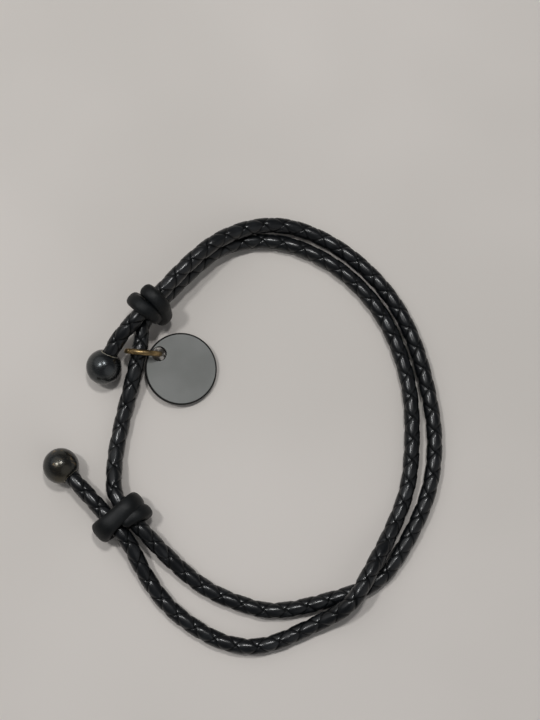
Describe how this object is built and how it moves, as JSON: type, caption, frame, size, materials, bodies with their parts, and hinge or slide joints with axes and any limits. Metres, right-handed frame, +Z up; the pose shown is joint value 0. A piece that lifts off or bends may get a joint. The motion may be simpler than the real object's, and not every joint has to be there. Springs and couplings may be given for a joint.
{
  "type": "adjustable braided cord bracelet",
  "caption": "Adjustable bracelet of black braided leather cord with sliding keeper knots, ball ends and a round disc charm on a jump ring.",
  "frame": {"origin": "middle of the bracelet's box, on the surface that it lies on", "axes": "+Z up from the surface, +Y along the loop's longer way towards the end with the charm, +X away from the front run that carries the charm"},
  "size_m": [0.0787, 0.087, 0.0113],
  "materials": {
    "braided_leather": "glossy near-black leather laces in a round braid",
    "knot_leather": "smooth round black leather with a soft satin sheen",
    "gunmetal": "polished black metal, rubbed brownish in places",
    "glue": "set clear glue, hidden in the balls",
    "antique_brass": "dull antique brass wire",
    "satin_metal": "satin dark grey metal with a darker rim"
  },
  "bodies": {
    "root": {"upper_tail": "braided_leather", "outer_run": "braided_leather", "lower_inner_run": "braided_leather", "lower_front_run": "braided_leather", "upper_front_run": "braided_leather", "inner_run": "braided_leather", "lower_outer_run": "braided_leather", "upper_ball": "gunmetal", "upper_glue": "glue"},
    "upper_knot": {"upper_knot": "knot_leather"},
    "lower_end": {"lower_knot": "knot_leather", "lower_tail": "braided_leather", "lower_ball": "gunmetal", "lower_glue": "glue"},
    "jump_ring": {"jump_ring": "antique_brass"},
    "disc_charm": {"disc_charm": "satin_metal"}
  },
  "joints": [
    {"name": "upper_knot_slide", "type": "slide", "parent": "root", "child": "upper_knot", "axis": [0.6691, 0.7431, 0], "range_m": [0, 0.007]},
    {"name": "lower_knot_slide", "type": "slide", "parent": "root", "child": "lower_end", "axis": [0.6561, -0.7547, 0], "range_m": [-0.003, 0.006], "deforming": ["lower_front_run", "lower_inner_run", "lower_outer_run"]},
    {"name": "ring_swing", "type": "hinge", "parent": "root", "child": "jump_ring", "pos_m": [-0.02115, 0.0154, 0.00375], "axis": [-0.192, -0.9814, 0], "range_deg": [0, 25]},
    {"name": "charm_swing", "type": "hinge", "parent": "jump_ring", "child": "disc_charm", "pos_m": [-0.02028, 0.01527, 0.00409], "axis": [-0.086, -0.9825, -0.165], "range_deg": [0, 55]}
  ]
}
